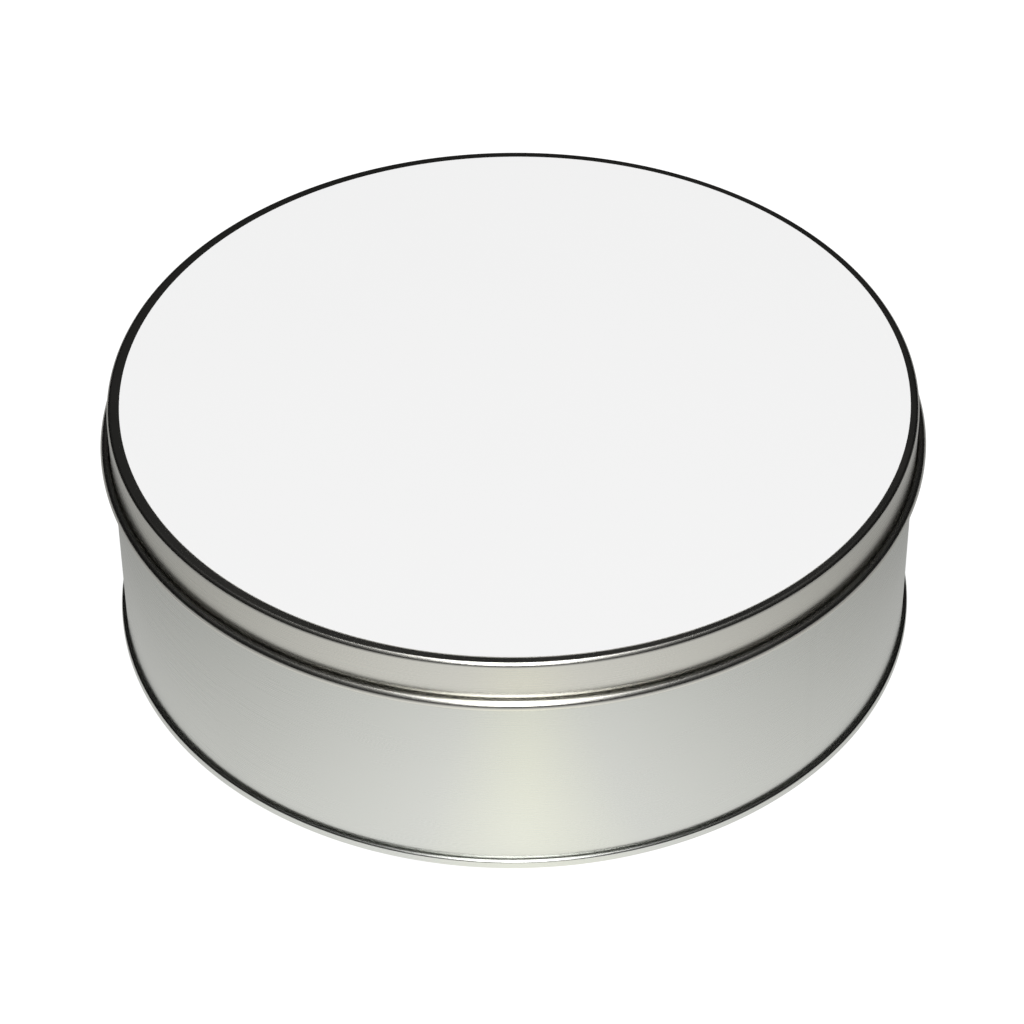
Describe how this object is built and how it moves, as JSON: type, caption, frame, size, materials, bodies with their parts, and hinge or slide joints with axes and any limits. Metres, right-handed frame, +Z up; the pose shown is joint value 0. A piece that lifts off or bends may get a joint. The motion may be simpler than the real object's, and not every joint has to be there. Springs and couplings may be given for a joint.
{
  "type": "round tin box",
  "caption": "Shut low round tin box: straight tinplate wall on a seamed foot, slip lid with a rolled edge, and a bare white disc covering the lid's top.",
  "frame": {"origin": "centre of the foot, on the surface the tin stands on", "axes": "+Z up along the tin's axis; the tin is the same all round, so +X and +Y are free"},
  "size_m": [0.195, 0.195, 0.0628],
  "materials": {
    "wall_tinplate": "fine grained tinplate, satin",
    "lid_tinplate": "drawn tinplate, bright at the shoulder and rolled edge",
    "white_disc": "smooth matte white",
    "end_tinplate": "tinplate, bright at the seam"
  },
  "bodies": {
    "root": {"tin_body": "wall_tinplate", "lid": "lid_tinplate", "lid_label": "white_disc", "base_end": "end_tinplate"}
  },
  "joints": []
}
